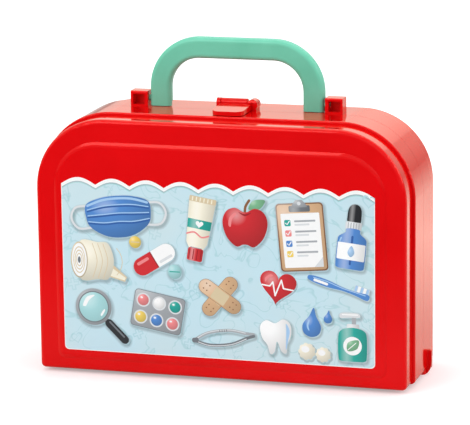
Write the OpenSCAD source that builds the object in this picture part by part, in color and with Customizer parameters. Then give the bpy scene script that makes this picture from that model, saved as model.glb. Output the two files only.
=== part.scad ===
// Toy doctor case: two moulded halves hinged along the bottom, a fold-down carrying
// handle, a flip-up latch clip and a printed front label.
// X is to the viewer's right, Y runs from the front half (-) to the rear half (+), Z is up.
// The origin is on the floor, under the middle of the seam between the halves.

/* [Case halves] */
// Width of the case across its side walls
case_w = 274.4; // [262:0.2:300]
// Height of the case from its underside to its top wall
case_h = 185.8; // [178:0.1:206]
// Depth of one half, from the seam to its flat face
half_d = 44.6; // [42:0.1:56]
// Radius of the two top corners of the side wall
corner_r = 53.2; // [48:0.1:60]
// Radius of the two bottom corners
bottom_r = 3.4; // [3.3:0.1:5]
// Wall thickness of the mouldings
wall = 2.4; // [2:0.1:3]
// How far the face block stands in from the side and top walls
step_in = 2.2; // [1.6:0.1:4]
// Depth of the narrower face block in front of the step
face_block_d = 18.5; // [9:0.1:20]
// Rounding of the face's outer edge
face_edge_r = 3; // [1:0.1:3.2]
// Rounding of the step's outer edge
step_edge_r = 1.2; // [0.6:0.1:2]
// Gap between the two halves at the seam
seam_gap = 0.3; // [0.2:0.05:0.5]

/* [Seam lip] */
// Thickness of the lip inside the rim of the rear half
lip_t = 1.4; // [1:0.1:2]
// How far the lip reaches past the seam
lip_reach = 4; // [2:0.5:6]
// Depth of the lip's root behind the seam
lip_root = 6; // [4:0.5:9]
// Gap between the lip and the front half's wall
lip_gap = 0.3; // [0.2:0.05:0.6]
// Height above the underside at which the lip starts
lip_start = 12; // [8:1:30]

/* [Raised panel] */
// Width of the raised panel on each face, to the foot of its sloped edge
panel_w = 242.4; // [241:0.2:252]
// Height of the raised panel, to the foot of its sloped edge
panel_h = 159.4; // [150:0.2:164]
// Height of the panel's bottom edge above the underside
panel_z = 8.3; // [6:0.1:9.4]
// Radius of the panel's two top corners
panel_r = 33; // [24:1:44]
// Radius of the panel's two bottom corners
panel_bottom_r = 5.6; // [5.2:0.1:8]
// How far the front panel stands out of the face
panel_rise = 1.2; // [0.8:0.1:2]
// How far the rear panel stands out of the face
rear_panel_rise = 1.5; // [0.8:0.1:2]
// Width of the panel's soft sloped edge
panel_edge_w = 4.4; // [3:0.1:4.9]

/* [Front label] */
// Width of the printed label
label_w = 228.4; // [200:0.2:229]
// Height of the printed label up to the crests of its wavy top edge
label_h = 126.5; // [90:0.5:128]
// Height of the label's bottom edge above the underside
label_z = 15.5; // [14:0.5:22]
// Sideways offset of the label's middle
label_x = -1.1; // [-1.3:0.1:1.3]
// Radius of the label's bottom corners
label_r = 3; // [1:0.5:6]
// Thickness of the label, which lies on the front panel
label_t = 0.3; // [0.2:0.05:0.5]
// Number of waves along the label's top edge
label_waves = 9; // [5:1:14]
// Height of those waves from trough to crest
label_wave_h = 5; // [2:0.5:8]

/* [Feet and side fins] */
// Height of the feet under the case
foot_h = 2.6; // [2.6:0.1:5]
// Rounding of the feet's corners, seen from below
foot_r = 3; // [1:0.5:4]
// Width of each front foot across the case
foot_w = 18; // [12:1:30]
// Length of each front foot along the depth
foot_d = 10; // [8.5:0.5:12]
// Distance of the middle of each front foot from the seam
foot_y = 27.5; // [24:0.5:30]
// Distance of the middle of each front foot from the centre line
foot_x = 118; // [108:1:120]
// Width of each rear foot across the case
rear_foot_w = 27; // [20:0.5:27.5]
// Length of each rear foot along the depth
rear_foot_d = 27; // [20:0.5:28]
// Distance of the middle of each rear foot from the seam
rear_foot_y = 23; // [22.5:0.5:25]
// Distance of each rear foot's outer side from the side wall
rear_foot_inset = 0.7; // [0.6:0.1:1]
// Height of the small upright fin low on each side of the rear half
fin_h = 17.2; // [12:0.1:22]
// Thickness of the fin along the depth
fin_d = 3; // [2:0.1:6]
// Distance of the fin's front face from the seam
fin_y = 13.2; // [10:0.1:18]
// How far the fin stands out of the side wall
fin_rise = 3.2; // [1.6:0.1:4]
// Height of the fin's bottom edge above the floor
fin_z = 0.4; // [0.2:0.1:4]
// Radius at which the fin sweeps in to the side wall at its bottom
fin_sweep_r = 12; // [8:0.5:14]
// Rounding of the fin's outer top corner
fin_r = 0.8; // [0.4:0.1:1.4]

/* [Bottom hinges] */
// Distance of the middle of each hinge from the centre line
hinge_x = 80; // [60:1:95]
// Outer radius of a hinge knuckle
knuckle_r = 2.3; // [2:0.1:2.4]
// Length of the front half's knuckle
lid_knuckle_l = 12; // [8:0.5:18]
// Length of each of the rear half's two knuckles
base_knuckle_l = 8; // [6:0.5:12]
// Side gap between neighbouring knuckles
knuckle_gap = 0.4; // [0.3:0.05:0.8]
// Gap round a knuckle in the other half's wall
knuckle_clear = 0.4; // [0.3:0.05:0.8]
// How far the hinge axis lies under the case's underside
hinge_drop = 0.15; // [0.1:0.05:0.2]
// Radius of the hinge pins
hinge_pin_r = 1.2; // [0.9:0.05:1.3]
// Thickness that closes the blind end of a pin's bore
blind_t = 1.2; // [0.8:0.1:2]

/* [Handle] */
// Half of the handle's outer width
handle_half_w = 64.1; // [58:0.1:66]
// Height of the handle's bar above the case's top wall
handle_h = 50.7; // [48:0.1:70]
// Width of the handle's section in the plane of the loop
grip_w = 15.2; // [11:0.1:16]
// Depth of the handle's section from front to back
grip_d = 9.6; // [8:0.1:9.8]
// Rounding of the section's edges
grip_edge_r = 3.2; // [1.5:0.1:3.8]
// Outer radius of the loop's two corners
handle_corner_r = 37; // [20:1:40]
// Radius of the pegs that the handle turns on
peg_r = 2.2; // [1.6:0.1:2.4]
// Length of each peg
peg_l = 3.6; // [2.6:0.1:3.7]
// Gap under the rounded backs of the handle's ends
handle_clear = 0.4; // [0.3:0.05:1]
// Gap under the square toes of the handle's ends, which stop it upright
toe_gap = 0.3; // [0.3:0.05:0.6]

/* [Handle brackets] */
// Width of a bracket across the case
bracket_w = 12.8; // [12.4:0.1:16]
// Depth of a bracket from front to back
bracket_d = 11; // [10.5:0.5:14]
// Height of a bracket above the case's top wall
bracket_h = 10.7; // [10:0.1:13]
// Distance of a bracket's front face from the seam
bracket_y = 3; // [1:0.5:8]
// Gap between the handle and a bracket
bracket_gap = 1.4; // [0.4:0.1:1.6]
// Rounding of a bracket's top edges
bracket_edge_r = 1; // [0.4:0.1:1.6]
// Thickness of the bracket wall that carries the peg
bracket_wall = 2.4; // [2.3:0.1:2.8]
// Width of the square pocket in a bracket's front
pocket_w = 8.6; // [6:0.1:9]
// Height of the square pocket
pocket_h = 7.6; // [5:0.1:7.9]
// Height of the pocket's floor above the case's top wall
pocket_z = 1; // [0.8:0.1:1.4]
// Depth of the square pocket
pocket_d = 8; // [5:0.5:8.5]

/* [Latch] */
// Distance of the latch axis behind the seam
latch_y = 5; // [4.8:0.1:8]
// Height of the latch axis above the case's top wall
latch_axis_h = 4.8; // [4.4:0.1:6]
// Sideways offset of the middle of the clip's barrel
latch_x = -1; // [-3:0.1:3]
// Length of the clip's barrel between the left lug and the right boss
barrel_l = 19.2; // [14:0.2:24]
// Radius of the clip's barrel
barrel_r = 3.1; // [2.8:0.1:3.2]
// Width of the clip's plate in front of the boss
clip_w = 23; // [18:0.2:26]
// Sideways offset of the middle of that plate
clip_x = 0.7; // [-1:0.1:1]
// How far the clip reaches in front of its axis
clip_l = 28.6; // [24:0.2:30]
// Thickness of the clip's plate at its front edge
clip_t = 2.9; // [2:0.1:3.4]
// Gap under the clip's plate
clip_clear = 0.4; // [0.3:0.05:0.5]
// Radius of the clip's two front corners in plan
clip_corner_r = 6; // [2:0.5:7]
// Distance of the catch rib from the clip's front edge
rib_inset = 7; // [6:0.5:9]
// Length of the catch rib across the clip
rib_l = 14; // [8:0.5:17]
// Radius of the half-round catch rib under the clip
rib_r = 1.1; // [1:0.05:1.2]
// Gap round the rib in the front half's groove
rib_gap = 0.35; // [0.3:0.05:0.5]
// Width of the left lug that carries the latch pin
lug_w = 3; // [2.8:0.1:5]
// Radius of that lug's rounded top
lug_r = 3.2; // [3:0.1:3.8]
// Side gap between the barrel and its lug or boss
lug_gap = 0.3; // [0.2:0.05:0.6]
// Width of the round boss that carries the pin's right end
boss_w = 7.8; // [6:0.1:8.4]
// Radius of the boss's rounded back and top, seen from the side
boss_r = 4.4; // [3.8:0.1:4.5]
// Gap between the boss and the plate in front of it
boss_gap = 0.5; // [0.4:0.05:0.8]
// Radius of the round dimple in the front of the boss
dimple_r = 1.6; // [1:0.1:1.8]
// Depth of the dimple
dimple_d = 0.9; // [0.4:0.1:1.2]
// Radius of the latch pin
latch_pin_r = 1.3; // [1:0.05:1.4]

/* [Fits] */
// Running clearance, on the radius, of every pin and peg in its bore
pin_clear = 0.05; // [0.03:0.01:0.09]

/* [Hidden] */
$fn = 48;
case_red = [0.84, 0.03, 0.06];
handle_green = [0.46, 0.77, 0.67];
label_blue = [0.77, 0.91, 0.94];
pin_red = [0.62, 0.03, 0.05];
sides = [-1, 1];
// A cut runs this far past the surface that it opens
past = 1;
// Two solids of one moulding share this much where they join
sunk = wall / 2;
// The panel's sloped edge ends this far under the face
dip = 0.1;
top_z = foot_h + case_h;
shell_depth = half_d - seam_gap / 2;
wall_depth = half_d - face_block_d - seam_gap / 2;
block_w = case_w - 2 * step_in;
block_h = case_h - step_in;
block_r = corner_r - step_in;
rear_foot_x = case_w / 2 - rear_foot_inset - rear_foot_w / 2;
hinge_z = foot_h - hinge_drop;
knuckle_pitch = lid_knuckle_l / 2 + knuckle_gap + base_knuckle_l / 2;
hinge_half_l = lid_knuckle_l / 2 + knuckle_gap + base_knuckle_l;
handle_y = bracket_y + bracket_d / 2;
handle_axis_z = top_z + grip_d / 2 + handle_clear;
bracket_x = handle_half_w + bracket_gap;
latch_z = top_z + latch_axis_h;
barrel_x0 = latch_x - barrel_l / 2;
barrel_x1 = latch_x + barrel_l / 2;
lug_x = barrel_x0 - lug_gap - lug_w;
boss_x = barrel_x1 + lug_gap;
boss_mid_z = latch_z + barrel_r - boss_w / 2;
clip_front_y = latch_y - clip_l;
rib_y = clip_front_y + rib_inset;
rib_z = top_z + clip_clear;

// Upright outline with rounded corners, standing on the X axis
module arch(w, h, r_top, r_bottom) {
    for (s = sides) {
        translate([s * (w / 2 - r_top), h - r_top]) circle(r = r_top);
        translate([s * (w / 2 - r_bottom), r_bottom]) circle(r = r_bottom);
    }
    translate([-(w / 2 - r_top), h - 2 * r_top]) square([w - 2 * r_top, 2 * r_top]);
    translate([-w / 2, r_bottom]) square([w, h - r_top - r_bottom]);
    translate([-(w / 2 - r_bottom), 0]) square([w - 2 * r_bottom, 2 * r_bottom]);
}

// Section of a slab's rim: a wide, d high. Its outer corner is an arc that leaves the flat
// smoothly and is edge_w wide and edge_h high, a quarter circle where these are the same.
module rim_section(a, d, edge_w, edge_h) {
    arc_r = (edge_w * edge_w + edge_h * edge_h) / (2 * edge_h);
    square([a - edge_w, d]);
    square([a, d - edge_h]);
    translate([a - edge_w, d - arc_r]) intersection() {
        circle(r = arc_r);
        translate([0, arc_r - edge_h]) square([edge_w, edge_h]);
    }
}

// Slab on the arch outline whose far edge is rounded all the way round.
// It lies in X and Y and rises along Z.
module rounded_slab(w, h, r_top, r_bottom, d, edge_w, edge_h) {
    for (s = [0, 1]) mirror([s, 0, 0]) {
        translate([w / 2 - r_top, h - r_top, 0])
            rotate_extrude(angle = 90) rim_section(r_top, d, edge_w, edge_h);
        translate([w / 2 - r_bottom, r_bottom, 0]) rotate([0, 0, -90])
            rotate_extrude(angle = 90) rim_section(r_bottom, d, edge_w, edge_h);
        translate([w / 2 - r_top, h - r_top, 0]) rotate([90, 0, 0])
            linear_extrude(h - r_top - r_bottom) rim_section(r_top, d, edge_w, edge_h);
    }
    translate([-(w / 2 - r_top), h - r_top, 0]) rotate([90, 0, 90])
        linear_extrude(w - 2 * r_top) rim_section(r_top, d, edge_w, edge_h);
    translate([-(w / 2 - r_bottom), r_bottom, 0])
        mirror([0, 1, 0]) rotate([90, 0, 90])
            linear_extrude(w - 2 * r_bottom) rim_section(r_bottom, d, edge_w, edge_h);
    translate([-(w / 2 - r_top), r_bottom, 0]) cube([w - 2 * r_top, h - r_top - r_bottom, d]);
}

// Puts a half that was modelled flat, underside on the X axis, upright on its feet in front
module upright() {
    translate([0, 0, foot_h]) rotate([90, 0, 0]) children();
}

// Cylinder along X from x0 to x1
module x_rod(r, x0, x1) {
    translate([x0, 0, 0]) rotate([0, 90, 0]) cylinder(r = r, h = x1 - x0);
}

// Outer form of one half: face block, wall behind the step, and raised panel
module half_outside(rise) {
    translate([0, 0, seam_gap / 2]) {
        rounded_slab(block_w, block_h, block_r, bottom_r, shell_depth, face_edge_r, face_edge_r);
        rounded_slab(case_w, case_h, corner_r, bottom_r, wall_depth, step_edge_r, step_edge_r);
    }
    translate([0, panel_z, half_d - wall])
        rounded_slab(panel_w, panel_h, panel_r, panel_bottom_r, wall + rise, panel_edge_w,
                     rise + dip);
}

// Hollow of one half, one wall thickness inside its outer form
module half_inside(rise) {
    in_r = bottom_r - wall;
    translate([0, wall, -past]) {
        linear_extrude(half_d - face_block_d - wall + past)
            arch(case_w - 2 * wall, case_h - 2 * wall, corner_r - wall, in_r);
        linear_extrude(half_d - wall + past)
            arch(block_w - 2 * wall, block_h - 2 * wall, block_r - wall, in_r);
    }
    translate([0, panel_z + panel_edge_w, -past])
        linear_extrude(half_d + rise - wall + past)
            arch(panel_w - 2 * panel_edge_w, panel_h - 2 * panel_edge_w, panel_r - panel_edge_w,
                 panel_bottom_r - panel_edge_w);
}

// Outline of one foot, with rounded corners
module foot_outline(w, d) {
    for (x = sides, y = sides)
        translate([x * (w / 2 - foot_r), y * (d / 2 - foot_r)]) circle(r = foot_r);
    square([w - 2 * foot_r, d], center = true);
    square([w, d - 2 * foot_r], center = true);
}

// Two feet under one half
module feet(w, d, x, y) {
    for (s = sides) translate([s * x, sunk, y])
        rotate([90, 0, 0]) linear_extrude(foot_h + sunk) foot_outline(w, d);
}

// Places children on the hinge axis, at each hinge
module at_hinges() {
    for (s = sides) translate([s * hinge_x, -hinge_drop, 0]) children();
}

module lid_knuckle(extra_r, extra_l) {
    x_rod(knuckle_r + extra_r, -lid_knuckle_l / 2 - extra_l, lid_knuckle_l / 2 + extra_l);
}

module base_knuckles(extra_r, extra_l) {
    for (s = sides) translate([s * knuckle_pitch, 0, 0])
        x_rod(knuckle_r + extra_r, -base_knuckle_l / 2 - extra_l, base_knuckle_l / 2 + extra_l);
}

// Bore of one hinge: blind at its left end, open at its right end
module hinge_bore() {
    x_rod(hinge_pin_r + pin_clear, -hinge_half_l + blind_t, hinge_half_l + past);
}

// Ring that follows the inside of the wall, from one inset to another
module lip_ring(from, to, z0, z1) {
    translate([0, 0, z0]) linear_extrude(z1 - z0) intersection() {
        difference() {
            translate([0, from]) arch(case_w - 2 * from, case_h - 2 * from, corner_r - from, past);
            translate([0, to]) arch(case_w - 2 * to, case_h - 2 * to, corner_r - to, past);
        }
        translate([-case_w / 2, lip_start]) square([case_w, case_h]);
    }
}

// Lip that stands inside the front half's rim, round the sides and the top
module seam_lip() {
    lip_ring(wall + lip_gap, wall + lip_gap + lip_t, -lip_reach, lip_root);
    lip_ring(sunk, wall + lip_gap + lip_t, seam_gap / 2, lip_root);
}

// Block with a square pocket in its front and a bore for the handle's peg
module bracket() {
    difference() {
        translate([bracket_x, 0, 0]) rotate([90, 0, 90]) linear_extrude(bracket_w) {
            translate([bracket_y, top_z - sunk])
                square([bracket_d, bracket_h + sunk - bracket_edge_r]);
            translate([bracket_y + bracket_edge_r, top_z])
                square([bracket_d - 2 * bracket_edge_r, bracket_h]);
            for (y = [bracket_edge_r, bracket_d - bracket_edge_r])
                translate([bracket_y + y, top_z + bracket_h - bracket_edge_r])
                    circle(r = bracket_edge_r);
        }
        translate([bracket_x + bracket_wall, bracket_y - past, top_z + pocket_z])
            cube([pocket_w, pocket_d + past, pocket_h]);
        translate([0, handle_y, handle_axis_z])
            x_rod(peg_r + pin_clear, bracket_x - past, bracket_x + bracket_wall + past);
    }
}

// Side view of a lug of one radius: round at the top, square down into the top wall
module lug_profile(r) {
    translate([latch_y, latch_z]) circle(r = r);
    translate([latch_y - r, top_z - sunk]) square([2 * r, latch_axis_h + sunk]);
}

// Lug that carries the pin's blind left end
module lug() {
    translate([lug_x, 0, 0]) rotate([90, 0, 90]) linear_extrude(lug_w) lug_profile(lug_r);
}

// Round boss that carries the pin's right end, with a dimple in its front
module boss() {
    depth = 2 * boss_r;
    difference() {
        intersection() {
            translate([boss_x, 0, 0]) rotate([90, 0, 90]) linear_extrude(boss_w) lug_profile(boss_r);
            translate([boss_x + boss_w / 2, latch_y + depth, 0]) rotate([90, 0, 0])
                linear_extrude(2 * depth) {
                    translate([0, boss_mid_z]) circle(d = boss_w);
                    translate([-0.4 * boss_w, top_z - sunk])
                        square([0.8 * boss_w, boss_mid_z - top_z + sunk]);
                }
        }
        translate([boss_x + boss_w / 2, latch_y - boss_r + dimple_d, boss_mid_z])
            rotate([90, 0, 0]) cylinder(r = dimple_r, h = dimple_d + past);
    }
}

// Small upright fin low on the outside of one side wall, which sweeps in to the foot below it
module side_fin() {
    out = sunk + fin_rise;
    sweep_h = sqrt(fin_rise * (2 * fin_sweep_r - fin_rise));
    translate([case_w / 2 - sunk, fin_y + fin_d, fin_z])
        rotate([90, 0, 0]) linear_extrude(fin_d) {
            intersection() {
                translate([out - fin_sweep_r, sweep_h]) circle(r = fin_sweep_r);
                square([out, sweep_h]);
            }
            translate([sunk - bottom_r, 0]) square([bottom_r, foot_h + sunk - fin_z]);
            translate([0, sweep_h]) {
                square([out - fin_r, fin_h - sweep_h]);
                square([out, fin_h - sweep_h - fin_r]);
                translate([out - fin_r, fin_h - sweep_h - fin_r]) circle(r = fin_r);
            }
        }
}

module rear_shell() {
    color(case_red) difference() {
        union() {
            mirror([0, 1, 0]) upright() {
                difference() {
                    union() {
                        half_outside(rear_panel_rise);
                        feet(rear_foot_w, rear_foot_d, rear_foot_x, rear_foot_y);
                        at_hinges() base_knuckles(0, 0);
                    }
                    half_inside(rear_panel_rise);
                    at_hinges() lid_knuckle(knuckle_clear, knuckle_gap);
                }
                seam_lip();
            }
            for (s = [0, 1]) mirror([s, 0, 0]) {
                bracket();
                side_fin();
            }
            lug();
            boss();
        }
        mirror([0, 1, 0]) upright() at_hinges() hinge_bore();
        translate([0, latch_y, latch_z])
            x_rod(latch_pin_r + pin_clear, lug_x + blind_t, boss_x + boss_w + past);
    }
}

module front_shell() {
    color(case_red) difference() {
        upright() difference() {
            union() {
                half_outside(panel_rise);
                feet(foot_w, foot_d, foot_x, foot_y);
                at_hinges() lid_knuckle(0, 0);
            }
            half_inside(panel_rise);
            at_hinges() base_knuckles(knuckle_clear, knuckle_gap);
            at_hinges() hinge_bore();
        }
        catch_rib(rib_gap);
    }
}

// Catch rib under the clip, or its groove when grown by a gap
module catch_rib(extra) {
    translate([clip_x, rib_y, rib_z]) x_rod(rib_r + extra, -rib_l / 2 - extra, rib_l / 2 + extra);
}

// Height of the label's wavy top edge at t, from 0 at its left end to 1 at its right end
function wave_top(t) = label_h - label_wave_h * (1 - abs(sin(180 * label_waves * t)));

module front_label() {
    steps = 12 * label_waves;
    color(label_blue) upright() translate([label_x, label_z, half_d + panel_rise])
        linear_extrude(label_t) difference() {
            arch(label_w, label_h, label_r, label_r);
            polygon(concat([[label_w, 2 * label_h], [-label_w, 2 * label_h], [-label_w, wave_top(0)]],
                           [for (i = [0:steps]) [label_w * (i / steps - 0.5), wave_top(i / steps)]],
                           [[label_w, wave_top(1)]]));
        }
}

// Section of the handle: grip_w along X, grip_d along Y, rounded at its edges
module grip_section() {
    for (x = sides, y = sides)
        translate([x * (grip_w / 2 - grip_edge_r), y * (grip_d / 2 - grip_edge_r)])
            circle(r = grip_edge_r);
    square([grip_w - 2 * grip_edge_r, grip_d], center = true);
    square([grip_w, grip_d - 2 * grip_edge_r], center = true);
}

// The half of that section on one side of the middle of its depth
module half_section(side) {
    intersection() {
        grip_section();
        translate([-grip_w, (side - 1) * grip_d / 2]) square([2 * grip_w, grip_d]);
    }
}

// End of a leg below the pegs: round at the back, and a square toe at the front
module leg_end() {
    toe_h = grip_d / 2 + handle_clear - toe_gap;
    rotate([0, 90, 0]) rotate_extrude() rotate([0, 0, -90]) half_section(1);
    translate([0, 0, -toe_h]) linear_extrude(toe_h) half_section(-1);
}

module handle() {
    leg_x = handle_half_w - grip_w / 2;
    bar_z = top_z + handle_h - grip_w / 2;
    bend_x = handle_half_w - handle_corner_r;
    bend_z = top_z + handle_h - handle_corner_r;
    bend_r = handle_corner_r - grip_w / 2;
    color(handle_green) translate([0, handle_y, 0]) {
        for (s = [0, 1]) mirror([s, 0, 0]) {
            translate([leg_x, 0, handle_axis_z]) {
                linear_extrude(bend_z - handle_axis_z) grip_section();
                leg_end();
                x_rod(peg_r, 0, grip_w / 2 + peg_l);
            }
            translate([bend_x, 0, bend_z]) rotate([90, 0, 0])
                rotate_extrude(angle = 90) translate([bend_r, 0]) grip_section();
        }
        translate([-bend_x, 0, bar_z]) rotate([0, 90, 0])
            linear_extrude(2 * bend_x) grip_section();
    }
}

// Plan of the clip: a wide plate with rounded front corners, then a neck back to the barrel
module clip_plan() {
    plate_l = clip_l - boss_r - boss_gap;
    translate([clip_x, clip_front_y]) {
        for (s = sides) translate([s * (clip_w / 2 - clip_corner_r), clip_corner_r])
            circle(r = clip_corner_r);
        translate([-clip_w / 2 + clip_corner_r, 0]) square([clip_w - 2 * clip_corner_r, plate_l]);
        translate([-clip_w / 2, clip_corner_r]) square([clip_w, plate_l - clip_corner_r]);
    }
    translate([barrel_x0, latch_y - boss_r - boss_gap - past])
        square([barrel_l, boss_r + boss_gap + past]);
}

// Everything above the clip's top face, which slopes from the axis down to the front edge
module clip_slope() {
    front_z = rib_z + clip_t;
    slope = (latch_z - front_z) / clip_l;
    translate([-clip_w, 0, 0]) rotate([90, 0, 90]) linear_extrude(2 * clip_w)
        polygon([[clip_front_y - past, front_z - past * slope],
                 [latch_y + past, latch_z + past * slope],
                 [latch_y + past, latch_z + clip_l], [clip_front_y - past, latch_z + clip_l]]);
}

module latch_clip() {
    color(case_red) difference() {
        union() {
            difference() {
                translate([0, 0, rib_z]) linear_extrude(latch_z - rib_z + past) clip_plan();
                clip_slope();
            }
            translate([0, latch_y, latch_z]) x_rod(barrel_r, barrel_x0, barrel_x1);
            catch_rib(0);
        }
        translate([0, latch_y, latch_z])
            x_rod(latch_pin_r + pin_clear, barrel_x0 - past, barrel_x1 + past);
    }
}

module latch_pin() {
    color(pin_red) translate([0, latch_y, latch_z])
        x_rod(latch_pin_r, lug_x + blind_t + pin_clear, boss_x + boss_w);
}

module hinge_pin(side) {
    color(pin_red) translate([side * hinge_x, 0, hinge_z])
        x_rod(hinge_pin_r, -hinge_half_l + blind_t + pin_clear, hinge_half_l);
}

rear_shell();
front_shell();
front_label();
handle();
latch_clip();
latch_pin();
hinge_pin(-1);  // hinge_pin_left
hinge_pin(1);  // hinge_pin_right
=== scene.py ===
"""Looks of a toy doctor case: glossy red halves, mint handle, latch clip and a printed label.

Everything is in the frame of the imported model: X to the viewer's right, Y from the front half to
the rear half, Z up. Names that end in _m are in metres, and other sizes are in millimetres.
"""

import logging
import math
from collections import Counter
from dataclasses import dataclass, field
from enum import Enum
from typing import Sequence

import bpy
from bpy.types import ID, Material, Mesh, Node, NodeSocket, NodeTree, Object, World
from mathutils import Matrix, Vector
from mathutils.geometry import delaunay_2d_cdt


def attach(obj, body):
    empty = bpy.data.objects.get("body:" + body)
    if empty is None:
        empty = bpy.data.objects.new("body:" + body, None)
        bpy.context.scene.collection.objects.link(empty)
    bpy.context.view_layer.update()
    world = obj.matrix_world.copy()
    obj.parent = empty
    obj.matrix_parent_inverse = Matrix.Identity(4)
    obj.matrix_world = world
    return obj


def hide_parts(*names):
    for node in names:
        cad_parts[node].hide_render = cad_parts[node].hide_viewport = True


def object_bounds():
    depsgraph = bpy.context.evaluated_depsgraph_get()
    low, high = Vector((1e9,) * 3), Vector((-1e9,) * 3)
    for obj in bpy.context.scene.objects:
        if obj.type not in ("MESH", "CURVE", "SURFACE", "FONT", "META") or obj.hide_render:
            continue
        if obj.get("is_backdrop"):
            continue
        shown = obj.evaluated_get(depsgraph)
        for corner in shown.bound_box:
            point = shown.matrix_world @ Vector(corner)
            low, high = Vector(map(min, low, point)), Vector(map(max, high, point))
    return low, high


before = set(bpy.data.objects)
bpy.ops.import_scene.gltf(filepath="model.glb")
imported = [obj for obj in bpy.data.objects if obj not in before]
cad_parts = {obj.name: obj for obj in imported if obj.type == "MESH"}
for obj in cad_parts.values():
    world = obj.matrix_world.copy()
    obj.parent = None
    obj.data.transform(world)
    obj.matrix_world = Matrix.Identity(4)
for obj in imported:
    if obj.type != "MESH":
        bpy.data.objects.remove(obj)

log = logging.getLogger("doctor_case")

MM = 0.001
Point = tuple[float, float]
Triple = tuple[float, float, float]
Range = tuple[float, float, float, float]
Loop = list[Point]

# Inputs of a Mix node for colours, by number because others have the same names
MIX_FACTOR, MIX_UNDER, MIX_OVER = 0, 6, 7
# Inputs of a MapRange node, in the order of a Range
ENDS = ("From Min", "From Max", "To Min", "To Max")
WHITE_LIGHT = (1.0, 1.0, 1.0, 1.0)
# Upper and lower, or right and left, side of a motif
SIDES = (1, -1)
# Pieces in the quarter turn of a round corner
CORNER_STEPS = 5


def linear(hex_code: str) -> Triple:
    """Turns an sRGB hex value into linear light, by the curve of that standard.

    Args:
        hex_code: six hex digits, such as "D8141E".

    Returns:
        Red, green and blue from 0 to 1.
    """
    parts = [int(hex_code[i:i + 2], 16) / 255 for i in (0, 2, 4)]
    return tuple(c / 12.92 if c <= 0.04045 else ((c + 0.055) / 1.055) ** 2.4 for c in parts)


def greys(*stops: Point) -> list[tuple[float, Triple]]:
    """Returns the stops of a ramp of greys from pairs of position and level."""
    return [(at, (level,) * 3) for at, level in stops]


def node(tree: NodeTree, kind: str, links: dict | None = None,
         stops: Sequence[tuple[float, Triple]] = (), **settings) -> Node:
    """Adds a shader node with its settings, socket values and links.

    Args:
        tree: the node tree that gets the node.
        kind: the node's type name without "ShaderNode".
        links: input name or index mapped to a value, or to the socket or node that feeds it. A
            node feeds it from the first output that it has in use.
        stops: position and linear colour of each stop, for a node with a ramp.
        settings: attributes of the node.

    Returns:
        The new node.
    """
    made = tree.nodes.new("ShaderNode" + kind)
    for name, value in settings.items():
        setattr(made, name, value)
    for key, value in (links or {}).items():
        if isinstance(value, Node):
            value = next(socket for socket in value.outputs if socket.enabled)
        if isinstance(value, NodeSocket):
            tree.links.new(value, made.inputs[key])
        else:
            made.inputs[key].default_value = value
    if stops:
        bar = made.color_ramp
        while len(bar.elements) < len(stops):
            bar.elements.new(0.5)
        for element, (position, colour) in zip(bar.elements, stops):
            element.position = position
            element.color = (*colour, 1.0)
    return made


def fresh_tree(owner: Material | World) -> NodeTree:
    """Turns on the nodes of a material or world.

    Args:
        owner: the material or world.

    Returns:
        Its node tree, emptied.
    """
    owner.use_nodes = True
    owner.node_tree.nodes.clear()
    return owner.node_tree


def put(name: str, data: ID) -> Object:
    """Adds an object to the scene.

    Args:
        name: the object's name.
        data: its mesh, lamp or camera.

    Returns:
        The new object.
    """
    made = bpy.data.objects.new(name, data)
    bpy.context.scene.collection.objects.link(made)
    return made


@dataclass(frozen=True)
class GlossyPolystyrene:
    """High-impact polystyrene, injection moulded in a polished tool."""

    name: str = "glossy_polystyrene_red"
    colour: str = "E60B18"
    deep_colour: str = "DF0914"
    sheen_tint: str = "FF4036"
    skin_tint: str = "FFE0C2"
    ior: float = 1.59
    roughness: float = 0.1
    roughness_spread: float = 0.05
    skin_ior: float = 1.2
    skin_roughness: float = 0.05
    flow_mm: float = 45.0
    ripple_mm: float = 7.0

    def build(self) -> Material:
        """Builds the material.

        Returns:
            The material.
        """
        # A polished mould gives clear reflections that whiten toward grazing angles, a slow
        # waviness over the sink-prone flats, and a faint change of colour along the melt flow.
        made = bpy.data.materials.new(self.name)
        tree = fresh_tree(made)
        place = node(tree, "TexCoord").outputs["Object"]
        flow = node(tree, "TexNoise", {"Vector": place, "Scale": 1 / (self.flow_mm * MM),
                                       "Detail": 2.0})
        colour = node(tree, "ValToRGB", {"Fac": flow}, stops=[
            (0.3, linear(self.deep_colour)), (0.65, linear(self.colour))])
        ripple = node(tree, "TexNoise", {"Vector": place, "Scale": 1 / (self.ripple_mm * MM),
                                         "Detail": 1.0})
        bump = node(tree, "Bump", {"Height": ripple, "Strength": 0.05, "Distance": 0.0003})
        rough = node(tree, "MapRange", {
            "Value": flow, "To Min": self.roughness,
            "To Max": self.roughness + self.roughness_spread})
        plastic = node(tree, "BsdfPrincipled", {
            "Base Color": colour, "Roughness": rough, "IOR": self.ior,
            "Specular Tint": (*linear(self.sheen_tint), 1.0),
            "Coat Weight": 1.0, "Coat Roughness": self.skin_roughness,
            "Coat IOR": self.skin_ior, "Coat Tint": (*linear(self.skin_tint), 1.0),
            "Normal": bump})
        node(tree, "OutputMaterial", {"Surface": plastic})
        return made


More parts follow.
